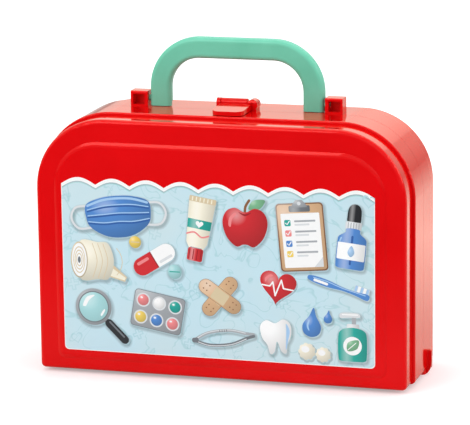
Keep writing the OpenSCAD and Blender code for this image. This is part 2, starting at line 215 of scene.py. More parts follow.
@dataclass(frozen=True)
class SatinPolypropylene:
    """Polypropylene, injection moulded in a finely spark-eroded tool."""

    name: str = "satin_polypropylene_mint"
    colour: str = "72D2B3"
    deep_colour: str = "66C8A8"
    ior: float = 1.49
    roughness: float = 0.42
    cloud_mm: float = 30.0
    grain_mm: float = 0.9

    def build(self) -> Material:
        """Builds the material.

        Returns:
            The material.
        """
        # The eroded tool leaves an even fine grain, so highlights are broad and soft. The real
        # grain is about 0.1 mm, and is drawn at 0.9 mm because finer would not show.
        made = bpy.data.materials.new(self.name)
        tree = fresh_tree(made)
        place = node(tree, "TexCoord").outputs["Object"]
        cloud = node(tree, "TexNoise", {"Vector": place, "Scale": 1 / (self.cloud_mm * MM),
                                        "Detail": 3.0})
        colour = node(tree, "ValToRGB", {"Fac": cloud}, stops=[
            (0.3, linear(self.deep_colour)), (0.7, linear(self.colour))])
        grain = node(tree, "TexNoise", {"Vector": place, "Scale": 1 / (self.grain_mm * MM),
                                        "Detail": 2.0})
        bump = node(tree, "Bump", {"Height": grain, "Strength": 0.12, "Distance": 0.0002})
        plastic = node(tree, "BsdfPrincipled", {
            "Base Color": colour, "Roughness": self.roughness, "IOR": self.ior,
            "Normal": bump})
        node(tree, "OutputMaterial", {"Surface": plastic})
        return made


@dataclass(frozen=True)
class LaminatedPrint:
    """Offset print on paper, laminated with clear film and die cut.

    The shading of a form goes by the distance from its soft spot, in halves of its size.
    """

    name: str = "laminated_paper_print"
    vein_colour: str = "8FC9CF"
    cloud_colour: str = "D3E4E6"
    gloss_colour: str = "FFFFFF"
    ior: float = 1.5
    roughness: float = 0.3
    cloud_mm: float = 60.0
    vein_mm: float = 24.0
    film_mm: float = 3.5
    spot_at: Triple = (-0.34, 0.4, 1.0)
    rim_shade: Range = (0.25, 1.55, 0.06, -0.42)
    spot_gloss: Range = (0.0, 0.42, 0.3, 0.0)
    haze: Range = (0.4, 0.68, 0.0, 0.55)
    vein_line: Range = (0.004, 0.022, 0.42, 0.0)
    shadow_depth: float = -0.42

    def build(self) -> Material:
        """Builds the material.

        Returns:
            The material.
        """
        # The film gives the inks a soft even gloss and a slight orange peel. The print's screen
        # dots are about 0.15 mm, too fine to show, so the inks are drawn solid.
        made = bpy.data.materials.new(self.name)
        tree = fresh_tree(made)
        place = node(tree, "TexCoord").outputs["Object"]
        ink = node(tree, "Attribute", attribute_name="ink").outputs["Color"]
        form = node(tree, "Attribute", attribute_name="form").outputs["Vector"]
        tone = node(tree, "Attribute", attribute_name="tone").outputs["Vector"]
        shadow, ground, _ = node(tree, "SeparateXYZ", {0: tone}).outputs
        solid = node(tree, "SeparateXYZ", {0: form}).outputs["Z"]
        # Each printed form is dark toward its lower right rim, with a soft spot at its upper left.
        reach = node(tree, "VectorMath", {0: form, 1: self.spot_at}, operation="DISTANCE")
        rim = node(tree, "MapRange", {"Value": reach, **dict(zip(ENDS, self.rim_shade))})
        level = node(tree, "Math", {0: rim, 1: solid, 2: 1.0}, operation="MULTIPLY_ADD")
        colour = node(tree, "VectorMath", {0: ink, "Scale": level}, operation="SCALE")
        spot = node(tree, "MapRange", {"Value": reach, **dict(zip(ENDS, self.spot_gloss))})
        # The pale ground is marbled with soft clouds and thin veins.
        cloud = node(tree, "TexNoise", {"Vector": place, "Scale": 1 / (self.cloud_mm * MM),
                                        "Detail": 2.0})
        haze = node(tree, "MapRange", {"Value": cloud, **dict(zip(ENDS, self.haze))})
        wave = node(tree, "TexNoise", {"Vector": place, "Scale": 1 / (self.vein_mm * MM),
                                       "Detail": 2.0, "Distortion": 1.4})
        off = node(tree, "Math", {0: wave, 1: 0.5}, operation="SUBTRACT")
        near = node(tree, "Math", {0: off}, operation="ABSOLUTE")
        vein = node(tree, "MapRange", {"Value": near, **dict(zip(ENDS, self.vein_line))})
        for amount, where, over in ((spot, solid, self.gloss_colour),
                                    (haze, ground, self.cloud_colour),
                                    (vein, ground, self.vein_colour)):
            share = node(tree, "Math", {0: amount, 1: where}, operation="MULTIPLY")
            colour = node(tree, "Mix", {MIX_FACTOR: share, MIX_UNDER: colour,
                                        MIX_OVER: (*linear(over), 1.0)}, data_type="RGBA")
        fade = node(tree, "Math", {0: shadow, 1: self.shadow_depth, 2: 1.0},
                    operation="MULTIPLY_ADD")
        inks = node(tree, "VectorMath", {0: colour, "Scale": fade}, operation="SCALE")
        film = node(tree, "TexNoise", {"Vector": place, "Scale": 1 / (self.film_mm * MM),
                                       "Detail": 1.0})
        bump = node(tree, "Bump", {"Height": film, "Strength": 0.06, "Distance": 0.0002})
        paper = node(tree, "BsdfPrincipled", {
            "Base Color": inks, "Roughness": self.roughness, "IOR": self.ior, "Normal": bump})
        node(tree, "OutputMaterial", {"Surface": paper})
        return made


class Ink(Enum):
    """Printing inks of the label, as sRGB hex values."""

    WHITE = "FAFBFB"
    RED = "D4222B"
    DEEP_RED = "9E1620"
    ROSE = "F08A8C"
    BLUE = "4F8AD2"
    DEEP_BLUE = "2D5FA8"
    SKY = "A5CBEF"
    CREAM = "F4EFDB"
    SAND = "DAC8A4"
    TAN = "DDB48A"
    BROWN = "8E5F3C"
    PALE_GREY = "DCE0E3"
    GREY = "A9AEB3"
    DARK_GREY = "72787E"
    BLACK = "24262A"
    TEAL = "17A99C"
    PALE_TEAL = "A6D9DC"
    GREEN = "7DBB90"
    LEMON = "F1D262"
    GROUND = "C6E5F0"
    MARK = "AFD9E4"
    EDGE_SHADE = "9DB4BC"


class Form(Enum):
    """What solid form the shading of an inked area suggests."""

    FLAT = "flat"
    DOME = "dome"
    ROD = "rod"


@dataclass(frozen=True)
class Place:
    """Where a motif stands on the label, in millimetres and degrees."""

    x: float
    z: float
    turn: float = 0.0
    size: float = 1.0

    def point(self, p: Point) -> Point:
        """Turns a motif's own point into a point on the label.

        Args:
            p: the motif's own point.

        Returns:
            The point on the label.
        """
        turn = math.radians(self.turn)
        c, s = math.cos(turn) * self.size, math.sin(turn) * self.size
        return (self.x + c * p[0] - s * p[1], self.z + s * p[0] + c * p[1])

    def own(self, p: Point) -> Point:
        """Turns a point on the label into a motif's own point.

        Args:
            p: the point on the label.

        Returns:
            The motif's own point.
        """
        c, s = math.cos(math.radians(self.turn)), math.sin(math.radians(self.turn))
        dx, dz = (p[0] - self.x) / self.size, (p[1] - self.z) / self.size
        return (c * dx + s * dz, c * dz - s * dx)


def ellipse(rx: float, rz: float, at: Point = (0.0, 0.0), steps: int = 40) -> Loop:
    """Returns an ellipse as a loop of points."""
    turns = (2 * math.pi * i / steps for i in range(steps))
    return [(at[0] + rx * math.cos(t), at[1] + rz * math.sin(t)) for t in turns]


def arc(r: float, start: float, end: float, at: Point, steps: int) -> Loop:
    """Returns points along an arc, from one angle in degrees to another."""
    turns = (math.radians(start + (end - start) * i / steps) for i in range(steps + 1))
    return [(at[0] + r * math.cos(t), at[1] + r * math.sin(t)) for t in turns]


def box(w: float, h: float, r: float, at: Point = (0.0, 0.0)) -> Loop:
    """Draws a rectangle with round corners.

    Args:
        w: its width.
        h: its height.
        r: radius of its corners.
        at: its middle.

    Returns:
        The loop, anticlockwise.
    """
    r = max(min(r, w / 2 - 0.01, h / 2 - 0.01), 0.05)
    loop = []
    for k, (sx, sz) in enumerate(((1, 1), (-1, 1), (-1, -1), (1, -1))):
        corner = (at[0] + sx * (w / 2 - r), at[1] + sz * (h / 2 - r))
        loop += arc(r, 90 * k, 90 * k + 90, corner, CORNER_STEPS)
    return loop


def smooth(points: Sequence[Point], steps: int = 6, closed: bool = True) -> Loop:
    """Runs a Catmull-Rom curve through points.

    Args:
        points: the points to pass.
        steps: pieces between two points.
        closed: whether the curve returns to its start.

    Returns:
        The points of the curve.
    """
    n = len(points)
    out = []
    for i in range(n if closed else n - 1):
        four = [points[(i + k) % n] if closed else points[min(max(i + k, 0), n - 1)]
                for k in (-1, 0, 1, 2)]
        for j in range(steps):
            t = j / steps
            out.append(tuple(
                0.5 * (2 * b + (c - a) * t + (2 * a - 5 * b + 4 * c - d) * t * t
                       + (3 * b - a - 3 * c + d) * t ** 3) for a, b, c, d in zip(*four)))
    return out if closed else out + [points[-1]]


def curve(points: Sequence[Point], steps: int = 5) -> Loop:
    """Runs an open curve from the first point to the last."""
    return smooth(points, steps, closed=False)


def mirror(points: Sequence[Point]) -> Loop:
    """Closes a right-hand half outline, given from top to bottom, with its mirror image."""
    return [(-x, z) for x, z in points] + [(x, z) for x, z in reversed(points)]


def turned(loop: Loop, degrees: float) -> Loop:
    """Turns a loop about the origin."""
    return [Place(0.0, 0.0, degrees).point(p) for p in loop]


def aside(p: Point, a: Point, b: Point, by: float) -> Point:
    """Moves a point to the right of the way from one point to another.

    Args:
        p: the point.
        a: where the way comes from.
        b: where the way goes.
        by: how far the point moves.

    Returns:
        The new point.
    """
    dx, dz = b[0] - a[0], b[1] - a[1]
    size = math.hypot(dx, dz) or 1.0
    return (p[0] + dz / size * by, p[1] - dx / size * by)


def grow(loop: Loop, by: float) -> Loop:
    """Returns an anticlockwise loop with its edges moved outwards."""
    return [aside(p, loop[i - 1], loop[(i + 1) % len(loop)], by) for i, p in enumerate(loop)]


def stroke(points: Sequence[Point], width: float) -> Loop:
    """Draws a line of even width with round ends.

    Args:
        points: the points along the line.
        width: its width.

    Returns:
        The outline, anticlockwise.
    """
    r, last = width / 2, len(points) - 1
    ways = [(p, points[max(i - 1, 0)], points[min(i + 1, last)]) for i, p in enumerate(points)]
    left = [aside(*way, -r) for way in ways]
    right = [aside(*way, r) for way in ways]

    def cap(at: Point, start: Point) -> Loop:
        """Closes an end with a half circle.

        Args:
            at: the end of the line.
            start: where the half circle starts.

        Returns:
            The points between its own two ends.
        """
        t0 = math.atan2(start[1] - at[1], start[0] - at[0])
        turns = (t0 + math.pi * k / 6 for k in range(1, 6))
        return [(at[0] + r * math.cos(t), at[1] + r * math.sin(t)) for t in turns]

    return right + cap(points[-1], right[-1]) + left[::-1] + cap(points[0], left[0])


def heart(w: float, at: Point = (0.0, 0.0), steps: int = 44) -> Loop:
    """Draws a heart by the usual heart curve, which is 32 wide.

    Args:
        w: its width.
        at: its middle.
        steps: its number of points.

    Returns:
        The loop.
    """
    k = w / 32
    out = []
    for i in range(steps):
        t = -2 * math.pi * i / steps
        rise = 13 * math.cos(t) - 5 * math.cos(2 * t) - 2 * math.cos(3 * t) - math.cos(4 * t)
        out.append((at[0] + k * 16 * math.sin(t) ** 3, at[1] + k * (rise + 2.5)))
    return out


def plus(w: float, bar: float) -> Loop:
    """Draws a plus sign.

    Args:
        w: its width and height.
        bar: width of its bars.

    Returns:
        The loop.
    """
    a, b = w / 2, bar / 2
    return [(a, -b), (a, b), (b, b), (b, a), (-b, a), (-b, b), (-a, b), (-a, -b), (-b, -b),
            (-b, -a), (b, -a), (b, -b)]


def anticlockwise(loop: Loop) -> Loop:
    """Returns the loop in anticlockwise order."""
    turn = sum(loop[i - 1][0] * p[1] - p[0] * loop[i - 1][1] for i, p in enumerate(loop))
    return loop if turn > 0 else loop[::-1]


@dataclass
class Area:
    """One inked area: its loops, colour and shading."""

    loops: list[Loop]
    ink: Triple
    form: Form
    place: Place
    mid: Point
    reach: Point
    ground: float
    rod_height: float = 0.35

    def shading(self, p: Point) -> Triple:
        """Works out how a point lies on the form that the area suggests.

        Args:
            p: the point on the label.

        Returns:
            Its place across and up the form, in halves of the form's size, and 1 for a form or
            0 for a flat area. All of a rod is shaded as at one height.
        """
        if self.form is Form.FLAT:
            return (0.0, 0.0, 0.0)
        x, z = self.place.own(p)
        u, v = (x - self.mid[0]) / self.reach[0], (z - self.mid[1]) / self.reach[1]
        return (u, self.rod_height, 1.0) if self.form is Form.ROD else (u, v, 1.0)


@dataclass
class Shadow:
    """The soft shadow that a motif seems to cast on the ground."""

    outline: Loop
    above: int
    soft: float

    def darkness(self, p: Point) -> float:
        """Works out how dark the shadow is at a point.

        Args:
            p: the point on the label.

        Returns:
            1 on the shadow's outline, and 0 beyond its soft width.
        """
        near = math.inf
        for i, b in enumerate(self.outline):
            a = self.outline[i - 1]
            dx, dz = b[0] - a[0], b[1] - a[1]
            k = ((p[0] - a[0]) * dx + (p[1] - a[1]) * dz) / ((dx * dx + dz * dz) or 1.0)
            k = min(max(k, 0.0), 1.0)
            near = min(near, math.hypot(p[0] - a[0] - k * dx, p[1] - a[1] - k * dz))
        return max(0.0, 1.0 - near / self.soft)


@dataclass
class PrintedSheet:
    """Flat artwork: overlapping inked areas, cut into one sheet of triangles."""

    face_y: float
    back_y: float
    areas: list[Area] = field(default_factory=list)
    shadows: list[Shadow] = field(default_factory=list)
    place: Place = Place(0.0, 0.0)
    shadow_drift: Point = (0.8, -1.2)
    cut_gap: float = 1e-4

    def area(self, ink: Ink, *loops: Loop, form: Form = Form.FLAT, mid: Point = (0.0, 0.0),
             reach: Point = (1.0, 1.0), ground: float = 0.0) -> None:
        """Inks one area of the current motif, over all that is there so far.

        Args:
            ink: the colour.
            loops: outlines and holes in the motif's own millimetres.
            form: the solid form that the shading suggests.
            mid: middle of that form.
            reach: half its width and half its height.
            ground: 1 where the marbling of the ground shows in it.
        """
        placed = [anticlockwise([self.place.point(p) for p in loop]) for loop in loops]
        self.areas.append(Area(placed, linear(ink.value), form, self.place, mid, reach, ground))

    def cast(self, *outlines: Loop, soft: float = 2.2) -> None:
        """Prints a soft shadow below and to the right of outlines.

        Args:
            outlines: the motif's outlines.
            soft: width over which the shadow fades.
        """
        dx, dz = self.shadow_drift
        for loop in outlines:
            placed = anticlockwise([self.place.point(p) for p in loop])
            placed = [(x + dx, z + dz) for x, z in placed]
            self.shadows.append(Shadow(placed, len(self.areas), soft))

    def cutting_lines(self) -> list[tuple[Loop, bool, int]]:
        """Lists the lines along which the sheet is cut into triangles.

        Returns:
            Every area's loops, and each shadow's outline with two wider rings. With each comes
            whether it is an area's, and the number of its area or shadow.
        """
        lines = [(loop, True, i) for i, area in enumerate(self.areas) for loop in area.loops]
        for i, shadow in enumerate(self.shadows):
            lines += [(shadow.outline, False, i)]
            lines += [(grow(shadow.outline, shadow.soft * k / 2), False, i) for k in (1, 2)]
        return lines

    def printed(self, around: Sequence[tuple[bool, int]]) -> tuple[Area, list[Shadow]] | None:
        """Finds what is printed on a triangle.

        Args:
            around: for each line that runs around it, whether that is an area's, and the number
                of its area or shadow.

        Returns:
            The uppermost area and the shadows that fall on it, or None beside the sheet.
        """
        counts = Counter(i for is_area, i in around if is_area)
        # A triangle inside an even number of an area's loops lies in a hole of it.
        inside = [i for i, count in counts.items() if count % 2]
        if 0 not in inside:
            return None
        top = max(inside)
        area = self.areas[top]
        over = [self.shadows[i] for i in {i for is_area, i in around if not is_area}]
        return area, [shadow for shadow in over if shadow.above > top and area.ground > 0]

    def cut_out(self, name: str, verts: Sequence[Vector],
                tris: Sequence[Sequence[int]]) -> tuple[Mesh, int]:
        """Makes the sheet's mesh, with its cut edge down to the panel.

        Args:
            name: the mesh's name.
            verts: points on the label, in millimetres.
            tris: the sheet's triangles.

        Returns:
            The mesh, whose last faces are the cut edge, and how many face corners these have.
        """
        used = sorted({v for tri in tris for v in tri})
        at = {v: i for i, v in enumerate(used)}
        edges = dict.fromkeys((tri[k], tri[(k + 1) % 3]) for tri in tris for k in range(3))
        rim = [(a, b) for a, b in edges if (b, a) not in edges]
        behind = {v: len(used) + i for i, v in enumerate(sorted({v for pair in rim for v in pair}))}
        corners = [(verts[v].x * MM, self.face_y * MM, verts[v].y * MM) for v in used]
        corners += [(verts[v].x * MM, self.back_y * MM, verts[v].y * MM) for v in behind]
        faces = [tuple(at[v] for v in tri) for tri in tris]
        faces += [(at[b], at[a], behind[a], behind[b]) for a, b in rim]
        mesh = bpy.data.meshes.new(name)
        mesh.from_pydata(corners, [], faces)
        return mesh, 4 * len(rim)

    def build(self, name: str, material: Material) -> Object:
        """Cuts the areas into one sheet and inks it.

        Args:
            name: the object's name.
            material: the print.

        Returns:
            The new object.
        """
        lines = self.cutting_lines()
        points: list[Vector] = []
        loops: list[list[int]] = []
        for loop, _, _ in lines:
            loops.append(list(range(len(points), len(points) + len(loop))))
            points.extend(Vector(p) for p in loop)
        verts, _, tris, _, _, sources = delaunay_2d_cdt(points, [], loops, 1, self.cut_gap)
        kept, ink, form, tone = [], [], [], []
        for tri, source in zip(tris, sources):
            found = self.printed([lines[s][1:] for s in source])
            if found is None:
                continue
            area, dark = found
            kept.append(tri)
            for v in tri:
                p = (verts[v].x, verts[v].y)
                ink += [*area.ink, 1.0]
                form += area.shading(p)
                tone += (max((d.darkness(p) for d in dark), default=0.0), area.ground, 0.0)
        mesh, rim_corners = self.cut_out(name, verts, kept)
        # The cut edge shows bare white paper.
        ink += [*linear(Ink.WHITE.value), 1.0] * rim_corners
        form += [0.0, 0.0, 0.0] * rim_corners
        tone += [0.0, 0.0, 0.0] * rim_corners
        for label, kind, value, data in (("ink", "FLOAT_COLOR", "color", ink),
                                         ("form", "FLOAT_VECTOR", "vector", form),
                                         ("tone", "FLOAT_VECTOR", "vector", tone)):
            mesh.attributes.new(label, kind, "CORNER").data.foreach_set(value, data)
        mesh.materials.append(material)
        return put(name, mesh)


@dataclass
class FrontLabel:
    """The printed front label: a pale blue sheet with generic doctor's things."""

    left: float = -115.3
    right: float = 113.1
    low: float = 18.1
    crest: float = 144.6
    corner_r: float = 3.0
    waves: int = 9
    wave_h: float = 5.0
    wave_steps: int = 12
    edge_w: float = 2.6
    edge_inset: float = 0.5
    face_y: float = -46.1
    back_y: float = -45.82
    base_z: float = 2.6
    sheet: PrintedSheet = field(init=False)

    def top(self, x: float) -> float:
        """Returns the height of the wavy top edge at a place along the label."""
        t = (x - self.left) / (self.right - self.left)
        return self.crest - self.wave_h * (1 - abs(math.sin(math.pi * self.waves * t)))

    def outline(self, drop: float, inset: float) -> Loop:
        """Draws the sheet's outline, with its edges moved in.

        Args:
            drop: how far the top edge comes down.
            inset: how far the other edges come in.

        Returns:
            The loop, anticlockwise.
        """
        left, right, low, r = self.left + inset, self.right - inset, self.low + inset, self.corner_r
        turns = [math.radians(90 / CORNER_STEPS * i) for i in range(CORNER_STEPS + 1)]
        loop = [(left + r - r * math.sin(t), low + r - r * math.cos(t)) for t in turns[::-1]]
        loop += [(right - r + r * math.sin(t), low + r - r * math.cos(t)) for t in turns]
        steps = self.waves * self.wave_steps
        across = (right - (right - left) * i / steps for i in range(steps + 1))
        return loop + [(x, self.top(x) - drop) for x in across]

    def build(self, material: Material) -> Object:
        """Prints the label and lays it on the front panel.

        Args:
            material: the print.

        Returns:
            The label.
        """
        self.sheet = PrintedSheet(self.face_y, self.back_y)
        self.ground()
        for motif, x, z, turn, size in (
                (self.face_mask, -73, 115.5, 6, 0.93),
                (self.ointment_tube, -14, 108, -9, 0.94),
                (self.apple, 20, 113, 0, 1.04),
                (self.clipboard, 61, 107, 5, 0.9),
                (self.dropper_bottle, 97, 107, -6, 0.96),
                (self.gauze_roll, -93, 82, 0, 1.0),
                (self.capsules, -47, 85, 0, 1.0),
                (self.crossed_plasters, 1, 61, 8, 0.96),
                (self.red_heart, 43, 69, -8, 0.95),
                (self.toothbrush, 85, 73, 0, 0.84),
                (self.magnifier, -93, 48, 0, 0.96),
                (self.pill_sheet, -45, 47, -10, 1.05),
                (self.tweezers, 3, 31, 8, 0.84),
                (self.tooth, 42, 35, 6, 1.05),
                (self.drop, 68, 46, -6, 1.0),
                (self.pump_bottle, 97, 34, 0, 0.9),
                (self.cotton_balls, 70, 25, 0, 0.84)):
            self.sheet.place = Place(x, z + self.base_z, turn, size)
            motif()
        label = self.sheet.build("label_sheet", material)
        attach(label, "lid")
        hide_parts("front_label")
        log.info("%s: %d faces", label.name, len(label.data.polygons))
        return label

    def ground(self) -> None:
        """Prints the sheet's white scalloped edge, pale blue ground and faint marks."""
        sheet = self.sheet
        sheet.area(Ink.WHITE, self.outline(0.0, 0.0))
        for ink, drop, ground in ((Ink.EDGE_SHADE, 0.0, 0.4), (Ink.PALE_TEAL, 0.8, 0.7),
                                  (Ink.GROUND, 1.5, 1.0)):
            sheet.area(ink, self.outline(self.edge_w + drop, self.edge_inset), ground=ground)
        spots = [(-107, 104), (-60, 105), (-46, 104), (24, 97), (70, 96), (105, 98), (-108, 64),
                 (-70, 66), (-30, 66), (14, 62), (56, 92), (-68, 24), (-22, 25), (12, 24),
                 (46, 59), (108, 52), (-60, 30), (80, 44), (76, 100), (-106, 24), (-8, 103),
                 (-2, 29), (20, 106), (-18, 60), (-112, 128), (109, 134)]
        for i, (x, z) in enumerate(spots):
            # Each mark has its own turn and size, from steps that don't repeat side by side.
            turn, size = (37 * i) % 60 - 30, 1.0 + 0.25 * ((i * 7) % 4) / 3
            sheet.place = Place(x, z + self.base_z, turn, size)
            if i % 2:
                sheet.area(Ink.MARK, heart(8.5), heart(6.2), ground=1.0)
            else:
                sheet.area(Ink.MARK, plus(8.0, 2.8), plus(6.2, 1.2), ground=1.0)

    def face_mask(self) -> None:
        """Draws a blue pleated face mask."""
        s = self.sheet
        body = smooth([(0, 15.5), (13, 14.5), (25, 10), (26, 0), (23, -8), (12, -15), (0, -17),
                       (-12, -15), (-23, -8), (-26, 0), (-25, 10), (-13, 14.5)])
        loops = [stroke(curve([(24 * k, 9), (34 * k, 8), (38 * k, 0), (33 * k, -8),
                               (22 * k, -8)]), 1.7) for k in SIDES]
        s.cast(body, *loops)
        for loop in loops:
            s.area(Ink.PALE_GREY, loop)
        s.area(Ink.BLUE, body, form=Form.DOME, reach=(29, 19))
        s.area(Ink.SKY, stroke(
            curve([(-24, 9), (-12, 12.6), (0, 13.5), (12, 12.6), (24, 9)]), 1.8))
        for z in (6.5, 0.0, -6.5):
            run = [(-24.5, z * 0.7), (-12, z + 0.4), (0, z + 0.9), (12, z + 0.4), (24.5, z * 0.7)]
            s.area(Ink.DEEP_BLUE, stroke(curve(run), 1.3))
            s.area(Ink.SKY, stroke(curve([(x, h + 1.2) for x, h in run]), 0.8))

    def ointment_tube(self) -> None:
        """Draws a cream tube with a red screw cap."""
        s = self.sheet
        body = mirror([(10.5, 25), (10.2, 18), (9.0, 0), (8.2, -10), (5.5, -14.5)])
        cap = box(12, 10, 1.6, (0, -19))
        s.cast(body, cap)
        s.area(Ink.CREAM, body, form=Form.ROD, reach=(11, 26))
        s.area(Ink.SAND, box(21, 4.2, 0.6, (0, 23.4)))
        for x in range(-8, 10, 3):
            s.area(Ink.CREAM, box(0.9, 3.2, 0.3, (x, 23.4)))
        s.area(Ink.TEAL, [(-9.4, 8), (-9.1, 1), (9.1, 1), (9.4, 8)], form=Form.ROD,
               reach=(11, 10))
        s.area(Ink.WHITE, heart(6.0, (0, 4.2)))
        s.area(Ink.ROSE, stroke(curve([(-8.6, -4), (-3, -2), (3, -5), (8.4, -3)]), 1.2))
        s.area(Ink.GREY, box(9, 2, 0.4, (0, -14.4)))
        s.area(Ink.RED, cap, form=Form.ROD, reach=(7, 6), mid=(0, -19))
        for x in (-4.5, -1.5, 1.5, 4.5):
            s.area(Ink.DEEP_RED, box(0.7, 8, 0.3, (x, -19)))

    def apple(self) -> None:
        """Draws a red apple with a leaf."""
        s = self.sheet
        body = smooth(mirror([(1.5, 9.5), (7, 12), (13, 9.5), (15.8, 2), (13, -8), (6.5, -14.5),
                              (1.6, -13.2)]))
        leaf = smooth([(2.5, 12), (6, 17.5), (14, 18), (11, 12.5), (6, 11)])
        s.cast(body, leaf)
        s.area(Ink.BROWN, stroke(curve([(0, 8), (0.4, 13), (3, 17.5)]), 1.8))
        s.area(Ink.GREEN, leaf, form=Form.DOME, mid=(8, 14), reach=(7, 6))
        s.area(Ink.RED, body, form=Form.DOME, reach=(18, 17))
        s.area(Ink.DEEP_RED, smooth([(-4.5, 9.2), (0, 6.6), (4.5, 9.2), (0, 8.0)]))
        s.area(Ink.ROSE, smooth([(-11, 5), (-7.5, 8.5), (-6, 7.5), (-9, 4), (-10, -1),
                                 (-11.6, 0)]))

    def clipboard(self) -> None:
        """Draws a clipboard with a sheet of coloured tick rows."""
        s = self.sheet
        board = box(38, 54, 3.0)
        s.cast(board)
        s.area(Ink.BROWN, board, form=Form.DOME, reach=(40, 52))
        s.area(Ink.TAN, box(36, 52, 2.4), form=Form.DOME, reach=(38, 50))
        s.area(Ink.WHITE, box(31, 43, 0.8, (0, -2.5)))
        s.area(Ink.PALE_GREY, [(15.5, -24), (15.5, -16), (8, -24)])
        for i, ink in enumerate((Ink.TEAL, Ink.ROSE, Ink.BLUE, Ink.LEMON)):
            z = 11.5 - 8.2 * i
            s.area(ink, box(5, 5, 1.0, (-10.5, z)))
            s.area(Ink.WHITE, stroke([(-12.0, z), (-10.9, z - 1.2), (-8.9, z + 1.4)], 0.8))
            s.area(Ink.GREY, box(17, 1.5, 0.6, (3.5, z + 1.2)))
            s.area(Ink.PALE_GREY, box(12 - i, 1.5, 0.6, (1.0 - i / 2, z - 1.6)))
        s.area(Ink.DARK_GREY, box(17, 5, 1.2, (0, 22.5)), form=Form.ROD, reach=(14, 6))
        s.area(Ink.GREY, mirror([(2.5, 29.5), (5.5, 26), (6.5, 23.5)]), form=Form.DOME,
               mid=(0, 26), reach=(8, 6))
        s.area(Ink.PALE_GREY, ellipse(1.5, 1.5, (0, 26.6), 20))

    def dropper_bottle(self) -> None:
        """Draws a blue dropper bottle with a black rubber bulb."""
        s = self.sheet
        body = smooth(mirror([(4.5, 8), (5.5, 5), (10, 1.5), (10.8, -3), (10.8, -18),
                              (9.5, -21.6), (3, -22)]), 4)
        bulb = smooth(mirror([(2, 26), (4.6, 23), (5.2, 17), (4.2, 12.6)]), 4)
        s.cast(body, bulb)
        s.area(Ink.BLACK, bulb, form=Form.ROD, reach=(6, 8))
        s.area(Ink.PALE_GREY, box(12, 5.6, 1.0, (0, 10.4)), form=Form.ROD, reach=(7.5, 5))
        for x in (-4, -2, 0, 2, 4):
            s.area(Ink.GREY, box(0.6, 4.4, 0.2, (x, 10.4)))
        s.area(Ink.BLUE, body, form=Form.ROD, reach=(12.5, 20))
        s.area(Ink.DEEP_BLUE, box(1.6, 22, 0.8, (0, -8)))
        s.area(Ink.WHITE, box(20.6, 12.5, 0.8, (0, -9)), form=Form.ROD, reach=(14, 10))
        s.area(Ink.SKY, smooth([(0, -4.6), (2.6, -9.6), (0, -13), (-2.6, -9.6)], 5),
               form=Form.DOME, mid=(0, -10), reach=(4, 5))
        s.area(Ink.SKY, stroke([(-8.2, 0.5), (-8.9, -1.6), (-8.9, -2.0)], 1.1))

    def gauze_roll(self) -> None:
        """Draws a cream gauze roll with its loose end."""
        s = self.sheet
        end = (-10, 0)
        body = smooth([(-10, 13), (4, 13.6), (12, 12.6), (16, 0), (12, -12.6), (4, -13.6),
                       (-10, -13)], 5)
        tail = [(4, -13.4), (13, -11.5), (24, -14.5), (25.5, -11.0), (16, -3)]
        s.cast(body, tail)
        s.area(Ink.SAND, tail)
        s.area(Ink.CREAM, [(6, -13.0), (13, -10.6), (23.6, -13.4), (24.6, -11.6), (15, -5)])
        s.area(Ink.CREAM, body, form=Form.DOME, mid=(2, 0), reach=(22, 17))
        for x in (0, 4, 8):
            s.area(Ink.SAND, stroke(curve([(x, 12.4), (x + 3.4, 0), (x, -12.4)]), 0.5))
        s.area(Ink.SAND, stroke(arc(13.2, -78, 78, (9.0, 0), 10)[2:-2], 0.5))
        s.area(Ink.SAND, ellipse(6.4, 13.2, end), form=Form.DOME, mid=end, reach=(8, 16))
        s.area(Ink.WHITE, ellipse(5.6, 12.2, end))
        for k in (0.8, 0.6, 0.4):
            s.area(Ink.SAND, ellipse(5.6 * k, 12.2 * k, end),
                   ellipse(5.6 * k - 0.55, 12.2 * k - 0.8, end))
        s.area(Ink.DARK_GREY, ellipse(1.1, 2.4, end, 20))

    def capsules(self) -> None:
        """Draws a red and white capsule and two small tablets."""
        s = self.sheet
        tilt = 32
        whole = turned(box(34, 13, 6.5), tilt)
        s.cast(whole, ellipse(5.2, 5.2, (15, -8)), ellipse(4.4, 4.4, (-14, 12)))
        left = arc(6.5, 90, 270, (-10.5, 0), 12) + [(0, -6.5), (0, 6.5)]
        right = arc(6.5, -90, 90, (10.5, 0), 12) + [(0, 6.5), (0, -6.5)]
        s.area(Ink.DEEP_RED, whole)
        for ink, part in ((Ink.RED, left), (Ink.WHITE, right),
                          (Ink.ROSE, box(10, 2.2, 1.1, (-8, 3.0))),
                          (Ink.PALE_GREY, box(11, 2.0, 1.0, (8, -3.6))),
                          (Ink.DEEP_RED, box(0.9, 13, 0.3))):
            s.area(ink, turned(part, tilt))
        for at, ink, score, r in (((15, -8), Ink.PALE_TEAL, Ink.TEAL, 5.2),
                                  ((-14, 12), Ink.LEMON, Ink.SAND, 4.4)):
            s.area(ink, ellipse(r, r, at), form=Form.DOME, mid=at, reach=(r * 1.2, r * 1.2))
            s.area(score, box(r * 1.5, 0.8, 0.3, at))

    def red_heart(self) -> None:
        """Draws a red heart with a white pulse line."""
        s = self.sheet
        whole = heart(28)
        s.cast(whole)
        s.area(Ink.RED, whole, form=Form.DOME, reach=(17, 16))
        pulse = [(-12, 1), (-6, 1), (-4, 4.5), (-1, -5.5), (2.2, 7), (4.6, 1), (12, 1)]
        for start, end in zip(pulse, pulse[1:]):
            s.area(Ink.WHITE, stroke([start, end], 1.1))
        s.area(Ink.ROSE, smooth([(-10.4, 6.4), (-7, 9.8), (-4.6, 9.2), (-8, 6.6),
                                 (-9.6, 3.6)], 5))

